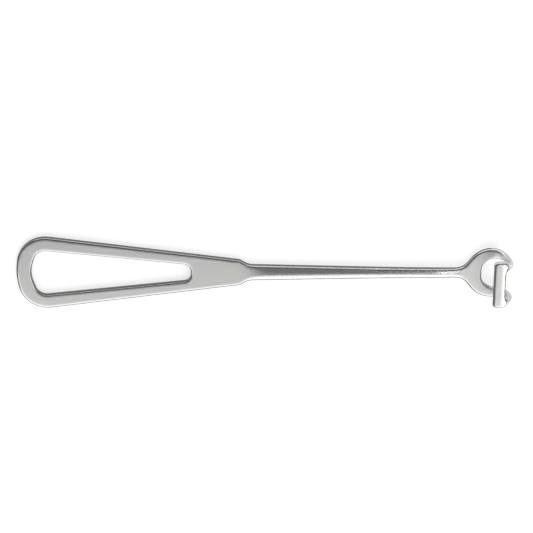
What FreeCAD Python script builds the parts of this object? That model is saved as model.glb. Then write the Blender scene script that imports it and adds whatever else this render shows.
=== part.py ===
"""Handheld surgical retractor: a flat teardrop handle with a tapered slot, a slender
shaft, and an open ring whose two arms curl up and back to a crossbar.

It was forged in one piece, so it is one solid. Two outlines set its form, as they do
in a forging: the side outline gives the thickness and the hook, and the plan outline
trims it to the teardrop, the shaft and the ring. The slot and the windows are then
punched, and every sharp edge is rounded.

Lengths are in millimetres. +X runs from the handle to the hook, +Z is the side the
hook curls to, and the handle's back lies on Z = 0. The shaft climbs a little, so the
ring's back stands just clear of that plane. X is measured from the handle's end while
the body is built, and the body's placement then puts the origin under the middle of
its length.
"""
import FreeCAD, Part
import Sketcher
import math
import os

from FreeCAD import Vector

NODE = "retractor"

# Driving dimensions, each with what it measures
SIZES = {
    "overall_length": (220.0, "handle's end to the outside of the hook"),
    "edge_radius": (1.2, "rounding of the outer edges"),
    "opening_edge_radius": (0.8, "rounding of the edges of the slot and the windows"),

    "handle_thickness": (3.0, "plate thickness of the teardrop"),
    "handle_corner_y": (18.9, "half width where the teardrop's side and end would meet"),
    "handle_corner_radius": (13.0, "round corners of the teardrop"),
    "handle_end_slant": (7.0, "degrees by which each half of the end leans in"),
    "handle_end_radius": (24.0, "shallow curve across the end"),
    "shoulder_x": (99.5, "handle's end to the shoulder"),
    "shoulder_y": (6.13, "half width of the teardrop at the shoulder"),
    "shoulder_radius": (1.6, "rounding of the shoulder's corner"),
    "shoulder_length": (3.9, "length of the slope from the shoulder to the shaft"),

    "slot_start": (6.7, "handle's end to the wide end of the slot"),
    "slot_finish": (77.6, "handle's end to the narrow end of the slot"),
    "slot_wide_y": (11.2, "half width where the slot's side and wide end would meet"),
    "slot_narrow_y": (3.95, "half width of the slot at its narrow end"),
    "slot_end_slant": (18.0, "degrees by which each half of the wide end leans in"),
    "slot_end_radius": (14.0, "curve across the wide end"),
    "slot_wide_radius": (5.0, "round corners of the wide end"),
    "slot_narrow_radius": (3.4, "round corners of the narrow end"),

    "shaft_thickness": (3.2, "thickness of the shaft"),
    "shaft_start_y": (3.75, "half width of the shaft at the foot of the shoulder"),
    "shaft_start_radius": (7.0, "hollow curve from the shoulder to the shaft"),
    "waist_to_hook": (52.0, "hook's outside to where the quick taper turns slow"),
    "waist_y": (2.43, "half width of the shaft there"),
    "waist_radius": (1500.0, "long hollow between the two tapers"),
    "flare_gap": (1.2, "shaft's end to the ring's round outline"),
    "flare_y": (2.27, "half width of the shaft at its end"),
    "flare_radius": (6.5, "hollow curve from the shaft to the ring"),
    "step_length": (10.0, "slope from one thickness to the next"),
    "step_radius": (60.0, "curves at both ends of that slope"),

    "ring_to_hook": (8.5, "hook's outside to the centre of the ring's round outline"),
    "ring_radius": (11.85, "outside of the ring"),
    "ring_lift": (0.9, "height of the ring's back over the handle's back"),
    "ring_thickness": (2.6, "thickness of the ring, the arms and the crossbar"),
    "arm_departure": (53.5, "degrees round the ring to where an arm's straight side starts"),
    "arm_width": (1.3, "width of an arm at the outside of the hook"),
    "window_to_hook": (13.2, "hook's outside to the ring's end of the window"),
    "window_flat_y": (1.3, "half length of the straight part of that end"),

    "hook_lower_radius": (9.3, "outside of the bend next to the ring"),
    "hook_upper_radius": (5.9, "outside of the bend next to the crossbar"),
    "hook_straight": (0.3, "straight stretch between the two bends"),
    "crossbar_flat": (3.2, "flat part of the crossbar, from its free edge to the bend"),
    "crossbar_wrap": (25.0, "degrees of the bend that belong to the crossbar"),
    "crossbar_corner_radius": (2.0, "round corners of the window at the crossbar"),
    "crossbar_inset": (0.65, "ring's widest point to the crossbar's end, along Y"),
    "crossbar_end_radius": (3.5, "round ends of the crossbar, on the side of its free edge"),
    "crossbar_end_to_hook": (6.6, "hook's outside to the centre of those round ends"),
}

MARGIN = 2.0            # how far a cut runs past the metal that it takes away
OVERSHOOT = 1.0         # how far an outline runs past the metal inside that frame
SHARP = 10.0            # degrees between two faces from which their edge is rounded
REACH = 0.01            # slack for telling which opening an edge belongs to
LEAST_CUT = 0.001       # cubic millimetres that every cut takes away at least
WALL_SHARE = 0.48       # share of the thinnest wall that a rounding may take


class Length:
    """Number together with the sheet's formula that it comes from."""

    def __init__(self, value, formula):
        self.value = value
        self.formula = formula

    def __add__(self, other):
        other = as_length(other)
        return Length(self.value + other.value, f"({self.formula} + {other.formula})")

    def __sub__(self, other):
        other = as_length(other)
        return Length(self.value - other.value, f"({self.formula} - {other.formula})")

    def __mul__(self, factor):
        return Length(self.value * factor, f"({self.formula} * {factor})")

    def __neg__(self):
        return Length(-self.value, f"(0 - {self.formula})")


def as_length(thing):
    """A bare number as a Length, and a Length as it is."""
    if isinstance(thing, Length):
        return thing
    return Length(float(thing), repr(float(thing)))


def size(name):
    """Length of a driving dimension."""
    return Length(SIZES[name][0], f"sizes.{name}")


def lesser(first, second):
    """The smaller of two lengths."""
    return Length(min(first.value, second.value), f"min({first.formula}; {second.formula})")


def add_sheet(doc):
    """Spreadsheet with one row for each driving dimension."""
    sheet = doc.addObject("Spreadsheet::Sheet", "sizes")
    for row, (name, (value, meaning)) in enumerate(SIZES.items(), start=1):
        sheet.set(f"A{row}", meaning)
        sheet.set(f"B{row}", repr(value))
        sheet.setAlias(f"B{row}", name)
    doc.recompute()


def origin_plane(body, role):
    """One of the body's own three planes."""
    for feature in body.Origin.OriginFeatures:
        if feature.Role == role:
            return feature
    raise ValueError(role)


class Outline:
    """Sketch made of closed loops: straight sides between round or sharp corners.

    Each loop is walked with the metal, or the hole, on its left. A corner is the
    point where two sides would meet, and its radius rounds it. A hub is an arc about
    a fixed centre on the left, which the sides before and after it touch.
    """

    def __init__(self, body, name, role, lift=None):
        self.sketch = body.newObject("Sketcher::SketchObject", name)
        self.sketch.AttachmentSupport = [(origin_plane(body, role), "")]
        self.sketch.MapMode = "FlatFace"
        if lift is not None:
            self.sketch.setExpression(".AttachmentOffset.Base.z", lift.formula)
        self.stops = []

    def corner(self, x, y, radius=None):
        self.stops.append((as_length(x), as_length(y), radius, False))

    def hub(self, x, y, radius):
        self.stops.append((as_length(x), as_length(y), radius, True))

    def rectangle(self, low_x, low_y, high_x, high_y):
        for x, y in ((low_x, low_y), (high_x, low_y), (high_x, high_y), (low_x, high_y)):
            self.corner(x, y)
        self.close()

    def pin(self, geometry, position, stop):
        """Tie a point to its two formulas, measured from the sketch's origin."""
        for kind, length, axis in (("DistanceX", stop[0], -2), ("DistanceY", stop[1], -1)):
            if length.formula == "0.0":
                self.sketch.addConstraint(
                    Sketcher.Constraint("PointOnObject", geometry, position, axis))
            else:
                self.bind(Sketcher.Constraint(
                    kind, -1, 1, geometry, position, length.value), length)

    def bind(self, constraint, length):
        """Add a dimension whose value is a formula of the sheet."""
        index = self.sketch.addConstraint(constraint)
        self.sketch.setExpression(f"Constraints[{index}]", length.formula)

    def side_ends(self, index):
        """First drawing of the side that leaves stop number index."""
        start = self.stops[index]
        finish = self.stops[(index + 1) % len(self.stops)]
        p = Vector(start[0].value, start[1].value, 0)
        q = Vector(finish[0].value, finish[1].value, 0)
        if start[3]:
            p = touch_point(q, p, start[2].value, +1)
        if finish[3]:
            q = touch_point(p, q, finish[2].value, -1)
        return p, q

    def close(self):
        """Draw the loop that the stops describe, and fix it with constraints."""
        count = len(self.stops)
        ends = [self.side_ends(index) for index in range(count)]
        trims = [corner_trim(ends[index - 1], ends[index], self.stops[index])
                 for index in range(count)]
        sides = []
        for index, (p, q) in enumerate(ends):
            along = (q - p).normalize()
            a = p + along * trims[index]
            b = q - along * trims[(index + 1) % count]
            sides.append(self.sketch.addGeometry(Part.LineSegment(a, b), False))
        for index, stop in enumerate(self.stops):
            before, after = sides[index - 1], sides[index]
            if stop[2] is None:
                self.sketch.addConstraint(
                    Sketcher.Constraint("Coincident", before, 2, after, 1))
                self.pin(after, 1, stop)
            else:
                self.round_stop(before, after, stop)
        self.stops = []

    def round_stop(self, before, after, stop):
        """Arc between two sides, tangent to both."""
        first, last = self.sketch.Geometry[before], self.sketch.Geometry[after]
        a, b = first.EndPoint, last.StartPoint
        along = (first.EndPoint - first.StartPoint).normalize()
        out = (last.EndPoint - last.StartPoint).normalize()
        left_turn = along.cross(out).z > 0
        inward = Vector(-along.y, along.x, 0) * (1 if left_turn else -1)
        centre = a + inward * stop[2].value
        circle = Part.Circle(centre, Vector(0, 0, 1), stop[2].value)
        start, finish = (a, b) if left_turn else (b, a)
        arc = Part.ArcOfCircle(circle, angle_of(start - centre), angle_of(finish - centre))
        index = self.sketch.addGeometry(arc, False)
        join, leave = (1, 2) if left_turn else (2, 1)
        self.sketch.addConstraint(Sketcher.Constraint("Tangent", before, 2, index, join))
        self.sketch.addConstraint(Sketcher.Constraint("Tangent", after, 1, index, leave))
        self.bind(Sketcher.Constraint("Radius", index, stop[2].value), stop[2])
        if stop[3]:
            self.pin(index, 3, stop)
            return
        vertex = Part.Point(Vector(stop[0].value, stop[1].value, 0))
        point = self.sketch.addGeometry(vertex, True)
        for side in (before, after):
            self.sketch.addConstraint(
                Sketcher.Constraint("PointOnObject", point, 1, side))
        self.pin(point, 1, stop)


def angle_of(direction):
    """Angle of a direction from +X, in radians."""
    return math.atan2(direction.y, direction.x)


def touch_point(point, centre, radius, turn):
    """Where the tangent from a point touches a circle that lies on the side's left."""
    reach = centre - point
    angle = angle_of(reach) + turn * math.asin(radius / reach.Length)
    length = math.sqrt(reach.Length ** 2 - radius ** 2)
    return point + Vector(math.cos(angle), math.sin(angle), 0) * length


def corner_trim(before, after, stop):
    """How much of each side a corner's arc takes away."""
    if stop[2] is None or stop[3]:
        return 0.0
    turn = (before[1] - before[0]).getAngle(after[1] - after[0])
    return stop[2].value * math.tan(turn / 2)


def mirrored(stops):
    """Stops of the upper half, walked back along the lower half."""
    return [(x, -y, radius, hub) for x, y, radius, hub in reversed(stops)]


def hook_height():
    """Back of the handle to the top of the crossbar."""
    return (size("ring_lift") + size("hook_lower_radius") + size("hook_straight")
            + size("hook_upper_radius"))


def ring_centre_x():
    return size("overall_length") - size("ring_to_hook")


def shaft_end_x():
    """Where the flare would meet the shaft."""
    return ring_centre_x() - size("ring_radius") - size("flare_gap")


def arm_y(run):
    """Outer half width of the arms at a run of X from the ring's centre.

    An arm's side leaves the ring's round outline at the departure, an angle from +X,
    and goes on straight, so it always touches the round outline.
    """
    radius = size("ring_radius")
    leave = size("arm_departure")
    angle = math.radians(leave.value)
    rest = (radius.value - run.value * math.cos(angle)) / math.sin(angle)
    return Length(rest, f"(({radius.formula} - {run.formula} * cos({leave.formula}))"
                        f" / sin({leave.formula}))")


def window_y():
    """Half width of the windows, which leaves the arms their width at the hook."""
    return arm_y(size("ring_to_hook")) - size("arm_width")


def draw_side(body):
    """Side outline: thickness along the length, the climb to the ring, and the hook."""
    length = size("overall_length")
    height = hook_height()
    lift = size("ring_lift")
    thick = size("ring_thickness")
    lower = size("hook_lower_radius")
    upper = size("hook_upper_radius")
    step = size("step_radius")
    free_edge = length - upper - size("crossbar_flat")
    ring_step = shaft_end_x()
    climbed = ring_step - size("step_length")
    handle_step = size("shoulder_x") + size("shoulder_length")
    outline = Outline(body, "side_outline", "XZ_Plane")
    outline.corner(0, 0)
    outline.corner(handle_step, 0, step)
    outline.corner(climbed, lift, step)
    outline.corner(length, lift, lower)
    outline.corner(length, height, upper)
    outline.corner(free_edge, height)
    outline.corner(free_edge, height - thick)
    outline.corner(length - thick, height - thick, upper - thick)
    outline.corner(length - thick, lift + thick, lower - thick)
    outline.corner(ring_step, lift + thick, step)
    outline.corner(climbed, lift + size("shaft_thickness"), step)
    outline.corner(handle_step, size("shaft_thickness"), step)
    outline.corner(handle_step - size("step_length"), size("handle_thickness"), step)
    outline.corner(0, size("handle_thickness"))
    outline.close()
    return outline.sketch


def leaning_end(start, slant, radius, half_width):
    """X of an end's middle stop and of its corners.

    Each half of the end leans in by the slant. The curve between the halves has the
    radius and touches the start.
    """
    angle = math.radians(slant.value)
    middle = Length(start.value - radius.value * (1 / math.cos(angle) - 1),
                    f"({start.formula} - {radius.formula} * (1 / cos({slant.formula}) - 1))")
    lean = Length(half_width.value * math.tan(angle),
                  f"({half_width.formula} * tan({slant.formula}))")
    return middle, middle + lean


def draw_plan(body):
    """Frame round the plan outline: what is trimmed off the sides."""
    outline = Outline(body, "plan_outline", "XY_Plane")
    length = size("overall_length")
    width = size("handle_corner_y") + MARGIN
    outline.rectangle(as_length(-MARGIN), -width, length + MARGIN, width)

    middle_x, corner_x = leaning_end(as_length(0), size("handle_end_slant"),
                                     size("handle_end_radius"), size("handle_corner_y"))
    outline.corner(length + OVERSHOOT, arm_y(size("ring_to_hook") + OVERSHOOT))
    outline.hub(ring_centre_x(), 0, size("ring_radius"))
    outline.corner(shaft_end_x(), size("flare_y"), size("flare_radius"))
    outline.corner(length - size("waist_to_hook"), size("waist_y"), size("waist_radius"))
    outline.corner(size("shoulder_x") + size("shoulder_length"), size("shaft_start_y"),
                   size("shaft_start_radius"))
    outline.corner(size("shoulder_x"), size("shoulder_y"), size("shoulder_radius"))
    outline.corner(corner_x, size("handle_corner_y"), size("handle_corner_radius"))
    upper_half = list(outline.stops)
    outline.corner(middle_x, 0, size("handle_end_radius"))
    outline.stops += mirrored(upper_half)
    outline.close()
    return outline.sketch


def draw_slot(body):
    """Tapered slot of the handle."""
    outline = Outline(body, "slot_outline", "XY_Plane")
    middle_x, corner_x = leaning_end(size("slot_start"), size("slot_end_slant"),
                                     size("slot_end_radius"), size("slot_wide_y"))
    outline.corner(size("slot_finish"), size("slot_narrow_y"), size("slot_narrow_radius"))
    outline.corner(corner_x, size("slot_wide_y"), size("slot_wide_radius"))
    upper_half = list(outline.stops)
    outline.corner(middle_x, 0, size("slot_end_radius"))
    outline.stops += mirrored(upper_half)
    outline.close()
    return outline.sketch


def draw_window(body):
    """Window in the ring and the lower half of the bend, open to the outside."""
    outline = Outline(body, "window_outline", "XY_Plane")
    start = size("overall_length") - size("window_to_hook")
    outside = size("overall_length") + MARGIN
    half = window_y()
    radius = half - size("window_flat_y")
    outline.corner(start, -half, radius)
    outline.corner(outside, -half)
    outline.corner(outside, half)
    outline.corner(start, half, radius)
    outline.close()
    return outline.sketch


def draw_upper_window(body):
    """Window in the upper half of the bend, square to the crossbar's lower edge.

    Its plane passes through the bend's centre and tilts with the crossbar's edge, so
    the cut runs straight out through the arm's thickness there.
    """
    outline = Outline(body, "upper_window_outline", "XY_Plane")
    upper = size("hook_upper_radius")
    sketch = outline.sketch
    sketch.AttachmentOffset = FreeCAD.Placement(
        Vector(), FreeCAD.Rotation(Vector(0, 1, 0), size("crossbar_wrap").value))
    place = {"Base.x": size("overall_length") - upper,
             "Base.z": hook_height() - upper,
             "Rotation.Angle": size("crossbar_wrap")}
    for part, length in place.items():
        sketch.setExpression(".AttachmentOffset." + part, length.formula)
    far = size("hook_lower_radius")
    half = window_y()
    corner = size("crossbar_corner_radius")
    outline.corner(0, -half, corner)
    outline.corner(far, -half)
    outline.corner(far, half)
    outline.corner(0, half, corner)
    outline.close()
    return sketch


def draw_crossbar_ends(body, lift):
    """Frame round the crossbar: what is trimmed off its ends."""
    outline = Outline(body, "crossbar_ends", "XY_Plane", lift)
    length = size("overall_length")
    middle = length - size("crossbar_end_to_hook")
    radius = size("crossbar_end_radius")
    end_y = size("ring_radius") - size("crossbar_inset")
    width = size("handle_corner_y") + MARGIN
    outline.rectangle(middle - radius - MARGIN, -width, length + MARGIN, width)

    outline.corner(length + OVERSHOOT, end_y)
    outline.hub(middle, end_y - radius, radius)
    outline.corner(middle - radius - OVERSHOOT, end_y - radius)
    outline.stops += mirrored(outline.stops)
    outline.close()
    return outline.sketch


def cut(body, name, sketch, depth):
    """Pocket that runs up from its sketch, checked to have taken metal away."""
    volume = body.Tip.Shape.Volume
    pocket = body.newObject("PartDesign::Pocket", name)
    pocket.Profile = sketch
    pocket.Type = "Length"
    pocket.setExpression("Length", depth.formula)
    pocket.Reversed = True
    body.Document.recompute()
    if not pocket.Shape.Volume < volume - LEAST_CUT:
        raise ValueError(f"{name} takes nothing away")
    return pocket


def turn_at(shape, edge):
    """Degrees by which the surface turns from one side of an edge to the other."""
    faces = shape.ancestorsOfType(edge, Part.Face)
    if len(faces) < 2:
        return 0.0
    point = edge.valueAt((edge.FirstParameter + edge.LastParameter) / 2)
    first, last = [face.normalAt(*face.Surface.parameter(point)) for face in faces[:2]]
    return math.degrees(first.getAngle(last))


def lies_within(edge, low_x, high_x, half_width):
    """Whether an edge is inside an opening's length and width."""
    box = edge.BoundBox
    return (box.XMin > low_x.value - REACH and box.XMax < high_x.value + REACH
            and max(-box.YMin, box.YMax) < half_width.value + REACH)


def is_at_opening(edge):
    """Whether an edge belongs to the slot or to the windows."""
    length = size("overall_length")
    window = lies_within(edge, length - size("window_to_hook"), length, window_y())
    slot = lies_within(edge, size("slot_start"), size("slot_finish"), size("slot_wide_y"))
    return window or slot


def round_edges(body, name, radius, at_openings):
    """Fillet on the sharp edges at the openings, or on all the others."""
    base = body.Tip
    edges = [f"Edge{index}" for index, edge in enumerate(base.Shape.Edges, start=1)
             if turn_at(base.Shape, edge) > SHARP and is_at_opening(edge) == at_openings]
    fillet = body.newObject("PartDesign::Fillet", name)
    fillet.Base = (base, edges)
    fillet.setExpression("Radius", radius.formula)
    body.Document.recompute()
    return fillet


def build_retractor(doc):
    """The forging: stock with the side outline, trimmed, punched and rounded."""
    body = doc.addObject("PartDesign::Body", NODE)
    body.Label = NODE
    stock = body.newObject("PartDesign::Pad", "stock")
    stock.Profile = draw_side(body)
    stock.SideType = "Symmetric"
    stock.setExpression("Length", (size("handle_corner_y") * 2.0).formula)
    doc.recompute()

    above = hook_height() + MARGIN
    split = size("ring_lift") + size("hook_lower_radius") + size("hook_straight") * 0.5
    cut(body, "plan_trim", draw_plan(body), above)
    cut(body, "slot", draw_slot(body), above)
    cut(body, "window", draw_window(body), split)
    cut(body, "upper_window", draw_upper_window(body), size("hook_lower_radius"))
    cut(body, "crossbar_trim", draw_crossbar_ends(body, split), above)
    widest = size("ring_thickness") * WALL_SHARE
    round_edges(body, "outer_rounding", lesser(size("edge_radius"), widest), at_openings=False)
    round_edges(body, "opening_rounding", lesser(size("opening_edge_radius"), widest),
                at_openings=True)
    body.setExpression(".Placement.Base.x", (size("overall_length") * -0.5).formula)
    doc.recompute()
    return body


def check(doc, bodies):
    """Stop if a feature failed, or if a body isn't one valid solid."""
    for thing in doc.Objects:
        if "Invalid" in thing.State or "Error" in thing.State:
            raise ValueError(f"{thing.Name} failed: {thing.State}")
    for body in bodies:
        shape = body.Shape
        if shape.isNull() or not shape.isValid() or len(shape.Solids) != 1:
            raise ValueError(f"{body.Label} is not one valid solid")
        box = shape.optimalBoundingBox(True, False)
        print(body.Label, f"{shape.Volume:.1f} mm3", f"{len(shape.Faces)} faces",
              f"{box.XLength:.2f} x {box.YLength:.2f} x {box.ZLength:.2f} mm")


document = FreeCAD.newDocument("handheld_retractor")
add_sheet(document)
retractor = build_retractor(document)
check(document, [retractor])
os.makedirs("parts", exist_ok=True)
retractor.Shape.exportStep(os.path.join("parts", retractor.Label + ".step"))
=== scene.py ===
# %% [markdown]
# # A forged steel retractor on a pale table
# This lesson dresses one piece of metal: a hand retractor with a slotted teardrop
# handle, a slender shaft, and a ring whose arms curl up to a crossbar. The shape comes
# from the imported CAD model, so the work here is in the finish. The real one was forged,
# polished all over, and then brushed to a satin on its broad flat faces.

import math

import bmesh
import bpy
from mathutils import Matrix, Vector


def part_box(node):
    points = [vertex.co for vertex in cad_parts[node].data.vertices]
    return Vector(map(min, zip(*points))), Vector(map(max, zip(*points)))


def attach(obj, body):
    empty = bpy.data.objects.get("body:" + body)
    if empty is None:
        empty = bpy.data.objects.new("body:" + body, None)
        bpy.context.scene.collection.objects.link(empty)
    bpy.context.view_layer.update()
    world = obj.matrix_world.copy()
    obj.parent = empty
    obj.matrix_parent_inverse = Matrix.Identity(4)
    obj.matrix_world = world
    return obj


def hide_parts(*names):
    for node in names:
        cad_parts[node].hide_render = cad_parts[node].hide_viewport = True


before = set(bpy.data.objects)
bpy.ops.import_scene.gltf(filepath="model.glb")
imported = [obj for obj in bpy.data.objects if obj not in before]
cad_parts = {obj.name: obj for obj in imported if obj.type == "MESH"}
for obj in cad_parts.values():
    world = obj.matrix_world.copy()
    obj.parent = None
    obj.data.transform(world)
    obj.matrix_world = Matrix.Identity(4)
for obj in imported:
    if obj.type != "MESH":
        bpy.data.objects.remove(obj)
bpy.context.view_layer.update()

# %% [markdown]
# ## The tool's own sizes
# Every distance below is in metres, in the CAD's frame: +X runs from the handle to the
# hook, the back lies on Z = 0, and the origin is under the middle of the length. The
# finish changes at a few places along the tool: at the shoulder that ends the handle,
# where the shaft flares into the ring, at the bend, and at the crossbar's underside.
# Those places get names, and most are measured from the ends and the top of the packed
# model. The height of the bend's middle and the half width of its window are given.

# %% Places along the tool
low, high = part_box("retractor")
HANDLE_END = low.x
HOOK_END = high.x
TOP = high.z
SHOULDER = HANDLE_END + 0.1005
FLARE = HOOK_END - 0.0215
BEND = HOOK_END - 0.0093
BEND_MIDDLE = 0.0103
CROSSBAR_LOW = TOP - 0.0034
WINDOW_SIDE = 0.0078
RING_CENTRE = HOOK_END - 0.0085
print("length", round(HOOK_END - HANDLE_END, 4), "m, hook", round(TOP, 4), "m high")

# %% [markdown]
# ## A smooth copy of the forging
# The CAD node arrives as loose triangles with flat shading, which would show facets in
# every reflection. A polished rounding needs a mesh whose shading runs smoothly over
# it, so the steel is a copy of the node: its doubled points are merged, and its edges
# stay sharp only where two faces really meet at an angle. The shape isn't changed. A
# Weighted Normal modifier then lets the large flat faces set the shading at their
# borders, so that they stay flat right up to the roundings.

# %% Merge the copy and smooth its shading
MERGE = 1e-6
CREASE = math.radians(35)


def smooth_copy(node, name):
    """A merged copy of a CAD node, shaded smoothly between its real creases."""
    shell = bmesh.new()
    shell.from_mesh(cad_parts[node].data)
    bmesh.ops.remove_doubles(shell, verts=shell.verts, dist=MERGE)
    bmesh.ops.recalc_face_normals(shell, faces=shell.faces)
    for face in shell.faces:
        face.smooth = True
    for edge in shell.edges:
        edge.smooth = len(edge.link_faces) == 2 and edge.calc_face_angle() < CREASE
    mesh = bpy.data.meshes.new(name)
    shell.to_mesh(mesh)
    shell.free()
    piece = bpy.data.objects.new(name, mesh)
    bpy.context.scene.collection.objects.link(piece)
    weighted = piece.modifiers.new("flat_faces_lead", "WEIGHTED_NORMAL")
    weighted.mode = "FACE_AREA"
    weighted.weight = 100
    weighted.keep_sharp = True
    return piece


steel = smooth_copy("retractor", "forged_steel")
print("forged_steel:", len(steel.data.polygons), "faces")

# %% [markdown]
# ## Small node helpers
# The finish is worked out with math nodes, and a node takes several lines to make by
# hand. Helpers keep those cells short: one adds a node and fills its inputs, one makes a
# soft step along a value, three work on masks, two mix values or colours by a mask, and
# one gives a node group its sockets.

# %% Helpers for nodes


def add(nodes, links, kind, inputs=(), **settings):
    """Add a node, set its properties, and fill its inputs with values or links."""
    node = nodes.new(kind)
    for name, value in settings.items():
        setattr(node, name, value)
    for key, value in dict(inputs).items():
        if isinstance(value, bpy.types.NodeSocket):
            links.new(value, node.inputs[key])
        else:
            node.inputs[key].default_value = value
    return node


def soft_step(nodes, links, value, start, end):
    """0 before start and 1 after end, with a smooth change between them."""
    step = add(nodes, links, "ShaderNodeMapRange",
               {"Value": value, "From Min": start, "From Max": end,
                "To Min": 0.0, "To Max": 1.0},
               interpolation_type="SMOOTHSTEP")
    return step.outputs["Result"]


def times(nodes, links, first, second):
    """Product of two masks."""
    return add(nodes, links, "ShaderNodeMath", {0: first, 1: second},
               operation="MULTIPLY").outputs[0]


def either(nodes, links, first, second):
    """The larger of two masks."""
    return add(nodes, links, "ShaderNodeMath", {0: first, 1: second},
               operation="MAXIMUM").outputs[0]


def sized(nodes, links, value):
    """A value without its sign."""
    return add(nodes, links, "ShaderNodeMath", {0: value}, operation="ABSOLUTE").outputs[0]


def mixed(nodes, links, share, first, second):
    """Value that goes from the first to the second with the share."""
    return add(nodes, links, "ShaderNodeMix", {0: share, 2: first, 3: second},
               data_type="FLOAT").outputs[0]


def mixed_colour(nodes, links, share, first, second):
    """Colour that goes from the first to the second with the share."""
    return add(nodes, links, "ShaderNodeMix", {0: share, 6: first, 7: second},
               data_type="RGBA").outputs[2]


def new_group(name, inputs, outputs):
    """Shader node group with vector inputs and float outputs, and its two end nodes."""
    group = bpy.data.node_groups.new(name, "ShaderNodeTree")
    for socket in inputs:
        group.interface.new_socket(socket, in_out="INPUT", socket_type="NodeSocketVector")
    for socket in outputs:
        group.interface.new_socket(socket, in_out="OUTPUT", socket_type="NodeSocketFloat")
    return group, group.nodes.new("NodeGroupInput"), group.nodes.new("NodeGroupOutput")


# %% [markdown]
# ## Where the satin is
# Brushing dulls only the faces that the wheel reached: the flats of the handle and of
# the ring, on into the hollow of the bend, and the flat of the crossbar. The shaft, the
# roundings and the outside of the bend kept their polish. A mask says where the satin
# is, from the place and from the way the surface faces. Each of its steps is one node
# that turns smoothly from 0 to 1 between the two values of a named pair, so the finishes
# fade into each other over a few millimetres, as they do where a wheel runs out.

# %% The satin mask as a node group
# In each pair the step is 0 at the first value and 1 at the second. The first pair and
# the last two compare a part of the normal, and the others a place in metres
SATIN_LEVEL = (0.93, 0.99)
HANDLE_FADE = (SHOULDER + 0.013, SHOULDER - 0.002)
RING_FADE = (FLARE - 0.007, FLARE + 0.001)
HOLLOW_TOP = (BEND_MIDDLE + 0.001, BEND_MIDDLE - 0.001)
PAST_BEND = (BEND - 0.0005, BEND + 0.0005)
NOT_SIDEWAYS = (0.80, 0.50)
BACKWARDS = (0.05, -0.05)


def satin_mask_group():
    """Mask of the brushed faces, from the place on the tool and from the normal."""
    group, entry, leave = new_group("satin_faces", ["Position", "Normal"], ["Satin"])
    nodes, links = group.nodes, group.links
    place = add(nodes, links, "ShaderNodeSeparateXYZ", {0: entry.outputs["Position"]})
    facing = add(nodes, links, "ShaderNodeSeparateXYZ", {0: entry.outputs["Normal"]})
    along, height = place.outputs["X"], place.outputs["Z"]
    level = soft_step(nodes, links, sized(nodes, links, facing.outputs["Z"]), *SATIN_LEVEL)
    on_handle = soft_step(nodes, links, along, *HANDLE_FADE)
    on_ring = soft_step(nodes, links, along, *RING_FADE)
    flats = times(nodes, links, level, either(nodes, links, on_handle, on_ring))
    # The hollow of the bend faces back to the handle, and its rims face sideways
    past_bend = soft_step(nodes, links, along, *PAST_BEND)
    across = soft_step(nodes, links, sized(nodes, links, facing.outputs["Y"]), *NOT_SIDEWAYS)
    low_down = soft_step(nodes, links, height, *HOLLOW_TOP)
    backwards = soft_step(nodes, links, facing.outputs["X"], *BACKWARDS)
    hollow = times(nodes, links, times(nodes, links, past_bend, across),
                   times(nodes, links, low_down, backwards))
    links.new(either(nodes, links, flats, hollow), leave.inputs["Satin"])
    return group


satin_mask = satin_mask_group()
print("satin_faces:", len(satin_mask.nodes), "nodes")

# %% [markdown]
# ## Edges and walls, with painted reflections
# In the photograph the edges that face +Y carry three bands: a dark line where the
# rounding leaves the flat, a lighter crest, and a dark foot. The other edges have a bright
# upper part and only the foot. On the real tool these are mostly reflections of the room
# that it was photographed in, which this scene's three lamps don't rebuild. Cards and
# lamps built to match the room would be the truer way. Here the bands are painted
# reflections: darker and lighter steel colour, by the way the surface faces on the tool.
# They stay in place from every side, but the tool's two halves, which are alike in the
# metal, get different edges. The group gives four masks: the painted dark edge, its
# painted crest, the handle, where both are fainter, and the shaft, whose shading is
# rounded farther in a later cell.

# %% The edge masks as a node group
# Share of the painted dark line that the handle keeps, where the painted reflections are
# fainter
HANDLE_LINE_SHARE = 0.75
# These pairs compare a part of the normal: four its Z, two its Y, and the last its X
LINE_LEVEL = (0.995, 0.95)
FOOT_LEVEL = (0.95, 0.90)
CREST_TOP = (0.86, 0.78)
CREST_FOOT = (0.40, 0.55)
SIDEWAYS = (0.30, 0.60)
FAR_SIDE = (0.10, 0.40)
FREE_SIDE = (0.05, -0.15)
# And these compare a place in metres
BEFORE_BEND = (BEND + 0.0005, BEND - 0.0005)
ON_CROSSBAR = (CROSSBAR_LOW - 0.0004, CROSSBAR_LOW + 0.0004)
BETWEEN_ARMS = (WINDOW_SIDE + 0.0005, WINDOW_SIDE - 0.0005)
HANDLE_EDGE_FADE = (SHOULDER + 0.006, SHOULDER - 0.002)
SHAFT_START = (SHOULDER - 0.002, SHOULDER + 0.010)
SHAFT_STOP = (FLARE + 0.002, FLARE - 0.006)


def edged_faces(nodes, links, place, facing):
    """Mask of the faces that get the painted dark edge, and of the crossbar's free side."""
    before_bend = soft_step(nodes, links, place.outputs["X"], *BEFORE_BEND)
    sideways = soft_step(nodes, links, sized(nodes, links, facing.outputs["Y"]), *SIDEWAYS)
    high_up = soft_step(nodes, links, place.outputs["Z"], *ON_CROSSBAR)
    free_side = soft_step(nodes, links, facing.outputs["X"], *FREE_SIDE)
    between_arms = soft_step(nodes, links, sized(nodes, links, place.outputs["Y"]),
                             *BETWEEN_ARMS)
    crossbar = times(nodes, links, high_up, either(nodes, links, between_arms, free_side))
    region = either(nodes, links, either(nodes, links, sideways, before_bend), crossbar)
    return region, times(nodes, links, high_up, free_side)


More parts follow.
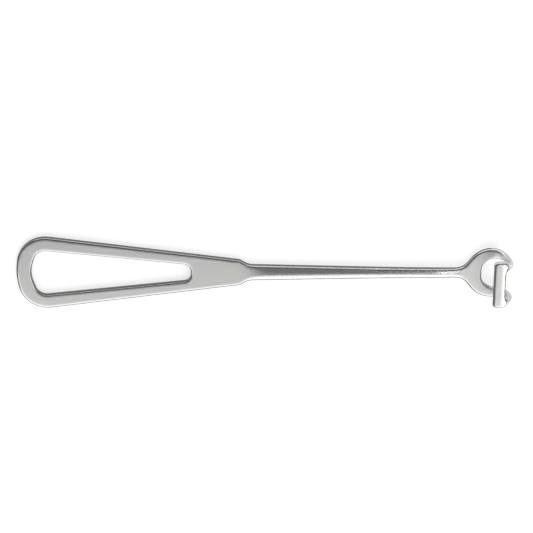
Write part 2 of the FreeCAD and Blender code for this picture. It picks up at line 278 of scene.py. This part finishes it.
def painted_edge_mask_group():
    """Masks of the painted dark edges, of their painted crest, of the handle and of the
    shaft.
    """
    group, entry, leave = new_group("painted_edge_reflections", ["Position", "Normal"],
                                    ["Edge", "PaintedCrest", "Handle", "Shaft"])
    nodes, links = group.nodes, group.links
    place = add(nodes, links, "ShaderNodeSeparateXYZ", {0: entry.outputs["Position"]})
    facing = add(nodes, links, "ShaderNodeSeparateXYZ", {0: entry.outputs["Normal"]})
    along = place.outputs["X"]
    level = sized(nodes, links, facing.outputs["Z"])
    region, crossbar_side = edged_faces(nodes, links, place, facing)
    far_side = soft_step(nodes, links, facing.outputs["Y"], *FAR_SIDE)
    on_handle = soft_step(nodes, links, along, *HANDLE_EDGE_FADE)
    faint = add(nodes, links, "ShaderNodeMapRange",
                {"Value": on_handle, "To Min": 1.0, "To Max": HANDLE_LINE_SHARE})
    lined = times(nodes, links, either(nodes, links, far_side, crossbar_side),
                  faint.outputs["Result"])
    # The line and the foot mark where a dark reflection is painted, the crest where a
    # lighter one is
    line = times(nodes, links, soft_step(nodes, links, level, *LINE_LEVEL), lined)
    foot = soft_step(nodes, links, level, *FOOT_LEVEL)
    edge = times(nodes, links, region, either(nodes, links, line, foot))
    # Past the bend the walls are painted as light as the crest, a painted reflection too
    past_bend = soft_step(nodes, links, along, *PAST_BEND)
    above_foot = either(nodes, links, soft_step(nodes, links, level, *CREST_FOOT), past_bend)
    crest = times(nodes, links, soft_step(nodes, links, level, *CREST_TOP), above_foot)
    on_shaft = times(nodes, links, soft_step(nodes, links, along, *SHAFT_START),
                     soft_step(nodes, links, along, *SHAFT_STOP))
    links.new(edge, leave.inputs["Edge"])
    links.new(times(nodes, links, crest, far_side), leave.inputs["PaintedCrest"])
    links.new(on_handle, leave.inputs["Handle"])
    links.new(on_shaft, leave.inputs["Shaft"])
    return group


painted_edge_masks = painted_edge_mask_group()
print("painted_edge_reflections:", len(painted_edge_masks.nodes), "nodes")

# %% [markdown]
# ## Brush marks
# A brushed face is covered in fine lines that all run one way. Noise that is stretched
# along the lines gives them: along the handle they are nearly straight, and on the ring
# they go round it. The lines are far finer than the picture can show, so they mostly
# change the roughness a little and tilt the highlight.

# %% Brush marks as a node group
BRUSH_LENGTH_SCALE = 40.0
BRUSH_WIDTH_SCALE = 5200.0
RING_BRUSH_SCALE = 300.0
BRUSH_NOISE = {"Scale": 1.0, "Detail": 2.0, "Roughness": 0.6}
RING_BRUSH_FADE = (FLARE - 0.004, FLARE + 0.002)


def brush_group():
    """Fine streaks along X on the handle, and round the ring's centre on the ring."""
    group, entry, leave = new_group("brush_marks", ["Position"], ["Streaks"])
    nodes, links = group.nodes, group.links
    straight = add(nodes, links, "ShaderNodeVectorMath",
                   {0: entry.outputs["Position"],
                    1: (BRUSH_LENGTH_SCALE, BRUSH_WIDTH_SCALE, BRUSH_WIDTH_SCALE)},
                   operation="MULTIPLY")
    streaks = add(nodes, links, "ShaderNodeTexNoise",
                  {"Vector": straight.outputs[0], **BRUSH_NOISE})
    centred = add(nodes, links, "ShaderNodeVectorMath",
                  {0: entry.outputs["Position"], 1: (RING_CENTRE, 0.0, 0.0)},
                  operation="SUBTRACT")
    spread = add(nodes, links, "ShaderNodeVectorMath", {0: centred.outputs[0]},
                 operation="LENGTH")
    rounds = add(nodes, links, "ShaderNodeMath",
                 {0: spread.outputs["Value"], 1: BRUSH_WIDTH_SCALE}, operation="MULTIPLY")
    ring_place = add(nodes, links, "ShaderNodeVectorMath",
                     {0: centred.outputs[0], "Scale": RING_BRUSH_SCALE},
                     operation="SCALE")
    ring_parts = add(nodes, links, "ShaderNodeSeparateXYZ", {0: ring_place.outputs[0]})
    ring_vector = add(nodes, links, "ShaderNodeCombineXYZ",
                      {"X": rounds.outputs[0], "Y": ring_parts.outputs["X"],
                       "Z": ring_parts.outputs["Y"]})
    circles = add(nodes, links, "ShaderNodeTexNoise",
                  {"Vector": ring_vector.outputs[0], **BRUSH_NOISE})
    place = add(nodes, links, "ShaderNodeSeparateXYZ", {0: entry.outputs["Position"]})
    on_ring = soft_step(nodes, links, place.outputs["X"], *RING_BRUSH_FADE)
    marks = mixed(nodes, links, on_ring, streaks.outputs["Fac"], circles.outputs["Fac"])
    links.new(marks, leave.inputs["Streaks"])
    return group


brush_marks = brush_group()
print("brush_marks:", len(brush_marks.nodes), "nodes")

# %% [markdown]
# ## The steel
# One Principled shader covers the whole forging, as one material does on the real
# tool. The satin mask and the brush marks change its roughness, and the edge masks paint
# reflections into its colour: a darker band and a lighter crest on the roundings. The
# photograph's bright rims are wider than the model's roundings make them, so a Bevel node
# rounds the shading there: it blends the normals within a small radius, and within a
# larger one on the shaft, whose real top looks rounder than the model's flat one.
# Changing the solid would be truer, but this needs no extra faces, and the outline stays
# that of the CAD model. A bump along the brush marks, a few thousandths of a millimetre
# high, breaks up the reflections.

# %% Steel material
POLISHED_ROUGHNESS = 0.14
SATIN_ROUGHNESS = 0.36
STREAK_ROUGHNESS = 0.06
POLISHED_COLOUR = (0.66, 0.66, 0.66, 1.0)
SATIN_COLOUR = (0.64, 0.635, 0.63, 1.0)
# Painted reflections: a dark band on the roundings and a lighter crest, darker on the handle
PAINTED_EDGE_COLOUR = (0.12, 0.12, 0.12, 1.0)
PAINTED_CREST_COLOUR = (0.50, 0.50, 0.50, 1.0)
HANDLE_PAINTED_CREST_COLOUR = (0.28, 0.28, 0.28, 1.0)
EDGE_BLEND = 0.0014
SHAFT_BLEND = 0.0036
BLEND_SAMPLES = 12
STREAK_RANGE = (0.3, 0.7)
STREAK_HEIGHT = 0.000004
RELIEF_STRENGTH = 0.25


def placed_group(nodes, links, group, place, facing=None):
    """A node group in a material, fed with the place and, if asked, the normal."""
    node = add(nodes, links, "ShaderNodeGroup", node_tree=group)
    links.new(place, node.inputs["Position"])
    if facing is not None:
        links.new(facing, node.inputs["Normal"])
    return node


def steel_material():
    """Forged stainless steel, satin on the flats and polished elsewhere, with reflections
    painted dark and light on its edges.
    """
    material = bpy.data.materials.new("forged_steel")
    material.use_nodes = True
    nodes, links = material.node_tree.nodes, material.node_tree.links
    shader = nodes["Principled BSDF"]
    shader.inputs["Metallic"].default_value = 1.0
    place = nodes.new("ShaderNodeTexCoord").outputs["Object"]
    facing = nodes.new("ShaderNodeNewGeometry").outputs["Normal"]
    satin = placed_group(nodes, links, satin_mask, place, facing).outputs["Satin"]
    edge = placed_group(nodes, links, painted_edge_masks, place, facing).outputs
    streaks = placed_group(nodes, links, brush_marks, place).outputs["Streaks"]

    rough_satin = add(nodes, links, "ShaderNodeMapRange",
                      {"Value": streaks, "From Min": STREAK_RANGE[0],
                       "From Max": STREAK_RANGE[1],
                       "To Min": SATIN_ROUGHNESS - STREAK_ROUGHNESS,
                       "To Max": SATIN_ROUGHNESS + STREAK_ROUGHNESS})
    rough = mixed(nodes, links, satin, POLISHED_ROUGHNESS, rough_satin.outputs["Result"])
    links.new(rough, shader.inputs["Roughness"])

    # The edge masks paint reflections into the base colour: a dark band and a lighter crest
    painted_crest_tone = mixed_colour(nodes, links, edge["Handle"], PAINTED_CREST_COLOUR,
                              HANDLE_PAINTED_CREST_COLOUR)
    painted_edge_tone = mixed_colour(nodes, links, edge["PaintedCrest"], PAINTED_EDGE_COLOUR, painted_crest_tone)
    tint = mixed_colour(nodes, links, satin, POLISHED_COLOUR, SATIN_COLOUR)
    tint_with_painted_edges = mixed_colour(nodes, links, edge["Edge"], tint, painted_edge_tone)
    links.new(tint_with_painted_edges, shader.inputs["Base Color"])

    blend = mixed(nodes, links, edge["Shaft"], EDGE_BLEND, SHAFT_BLEND)
    soft_edges = add(nodes, links, "ShaderNodeBevel", {"Radius": blend},
                     samples=BLEND_SAMPLES)
    relief = add(nodes, links, "ShaderNodeBump",
                 {"Strength": RELIEF_STRENGTH, "Distance": STREAK_HEIGHT,
                  "Height": times(nodes, links, streaks, satin),
                  "Normal": soft_edges.outputs["Normal"]})
    links.new(relief.outputs["Normal"], shader.inputs["Normal"])
    return material


steel.data.materials.clear()
steel.data.materials.append(steel_material())
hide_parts("retractor")
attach(steel, "root")
print("forged_steel:", len(steel.active_material.node_tree.nodes), "nodes in its material")

# %% [markdown]
# ## The table
# The tool lies on a seamless white table. Lamps strong enough to make it white would
# burn out the steel, so its material adds a glow that the camera sees, and so do
# reflections in metal and rays through glass. The glow lights nothing else. The lamps
# stay at a plain level, and the shadow stays in the picture.

# %% Floor
FLOOR_SIZE = 6.0
FLOOR_COLOUR = (0.60, 0.60, 0.60, 1.0)
FLOOR_ROUGHNESS = 0.9
FLOOR_GLOW = 0.64
WHITE = (1.0, 1.0, 1.0, 1.0)


def floor_material():
    """Matt white that also glows for the camera, reflections and rays through glass."""
    material = bpy.data.materials.new("pale_table")
    material.use_nodes = True
    nodes, links = material.node_tree.nodes, material.node_tree.links
    shader = nodes["Principled BSDF"]
    shader.inputs["Base Color"].default_value = FLOOR_COLOUR
    shader.inputs["Roughness"].default_value = FLOOR_ROUGHNESS
    shader.inputs["Specular IOR Level"].default_value = 0.0
    ray = nodes.new("ShaderNodeLightPath")
    seen = either(nodes, links, ray.outputs["Is Camera Ray"], ray.outputs["Is Glossy Ray"])
    seen = either(nodes, links, seen, ray.outputs["Is Transmission Ray"])
    shader.inputs["Emission Color"].default_value = WHITE
    glow = times(nodes, links, seen, FLOOR_GLOW)
    links.new(glow, shader.inputs["Emission Strength"])
    return material


def square(name, side):
    """Square sheet on Z = 0."""
    sheet = bmesh.new()
    bmesh.ops.create_grid(sheet, x_segments=1, y_segments=1, size=side / 2)
    mesh = bpy.data.meshes.new(name)
    sheet.to_mesh(mesh)
    sheet.free()
    piece = bpy.data.objects.new(name, mesh)
    bpy.context.scene.collection.objects.link(piece)
    return piece


floor = square("table", FLOOR_SIZE)
floor.data.materials.append(floor_material())
print("table:", FLOOR_SIZE, "m square")

# %% [markdown]
# ## Light
# Polished metal shows its surroundings, so these are built for what they look like in
# the steel. A world that is bright near the horizon and dim overhead gives the shaft its
# dark middle, because a flat top mirrors the dim part, and its roundings run from dark to
# bright. Three soft lamps add the rest. The near one stands on the -Y side, lights the
# satin and draws the bright rims. The far one is low on the +Y side and lights the crest
# of the edges there. The hook's lamp is a narrow one past the hook, and it draws the
# bright band down the crossbar.

# %% Lamps and world


def lamp(name, place, target, width, height, power):
    """Soft rectangular lamp that looks at a target."""
    light = bpy.data.lights.new(name, "AREA")
    light.shape = "RECTANGLE"
    light.size = width
    light.size_y = height
    light.energy = power
    fitting = bpy.data.objects.new(name, light)
    fitting.location = place
    aim = Vector(target) - Vector(place)
    fitting.rotation_euler = aim.to_track_quat("-Z", "Y").to_euler()
    bpy.context.scene.collection.objects.link(fitting)
    return fitting


lamp("near_lamp", place=(-0.07, -0.79, 0.616), target=(0, 0, 0),
     width=1.9, height=0.8, power=7.8)
lamp("far_lamp", place=(0.0, 0.93, 0.37), target=(0, 0, 0),
     width=1.6, height=0.42, power=3.4)
lamp("hook_lamp", place=(0.48, -0.25, 0.70), target=(0.10, 0, 0),
     width=0.16, height=0.9, power=1.7)

HORIZON_LIGHT = 1.05
ZENITH_LIGHT = 0.20
HORIZON_TOP = 0.22
ZENITH_START = 0.45


def room_world():
    """World that is bright near the horizon and dim overhead."""
    world = bpy.data.worlds.new("room")
    world.use_nodes = True
    nodes, links = world.node_tree.nodes, world.node_tree.links
    way = nodes.new("ShaderNodeTexCoord").outputs["Generated"]
    parts = add(nodes, links, "ShaderNodeSeparateXYZ", {0: way})
    level = add(nodes, links, "ShaderNodeMapRange",
                {"Value": parts.outputs["Z"], "From Min": HORIZON_TOP,
                 "From Max": ZENITH_START, "To Min": HORIZON_LIGHT,
                 "To Max": ZENITH_LIGHT}, interpolation_type="SMOOTHSTEP")
    background = nodes["Background"]
    background.inputs["Color"].default_value = WHITE
    links.new(level.outputs["Result"], background.inputs["Strength"])
    return world


bpy.context.scene.world = room_world()
print("lamps:", len(bpy.data.lights), "and a world from", HORIZON_LIGHT, "to", ZENITH_LIGHT)

# %% [markdown]
# ## Camera
# The camera looks down at the table from the +Y side, 25 degrees off the vertical,
# through a long lens that keeps the perspective faint. Its place and its small roll were
# fitted until the model's outline lay on the photograph's. The colours are shown by the
# Standard view transform, which leaves the white of the table white.

# %% Camera
TILT = math.radians(25.2)
ROLL = math.radians(-0.088)
DISTANCE = 0.8903
LENS = 135.0
SENSOR_WIDTH = 36.0
NEAREST = 0.01
AIM = Vector((0.0013, 0.00195, 0.0))


def photo_camera():
    """Camera at the photograph's angle, with the tool's length along its width."""
    data = bpy.data.cameras.new("photo_camera")
    data.lens = LENS
    data.sensor_width = SENSOR_WIDTH
    data.clip_start = NEAREST
    camera = bpy.data.objects.new("photo_camera", data)
    back = Vector((0.0, math.sin(TILT), math.cos(TILT)))
    right = Vector((1.0, 0.0, 0.0))
    up = back.cross(right)
    turn = Matrix((right, up, back)).transposed().to_4x4() @ Matrix.Rotation(ROLL, 4, "Z")
    camera.matrix_world = Matrix.Translation(AIM + back * DISTANCE) @ turn
    bpy.context.scene.collection.objects.link(camera)
    bpy.context.scene.camera = camera
    return camera


camera = photo_camera()
bpy.context.scene.view_settings.view_transform = "Standard"
print("camera:", [round(value, 4) for value in camera.location])
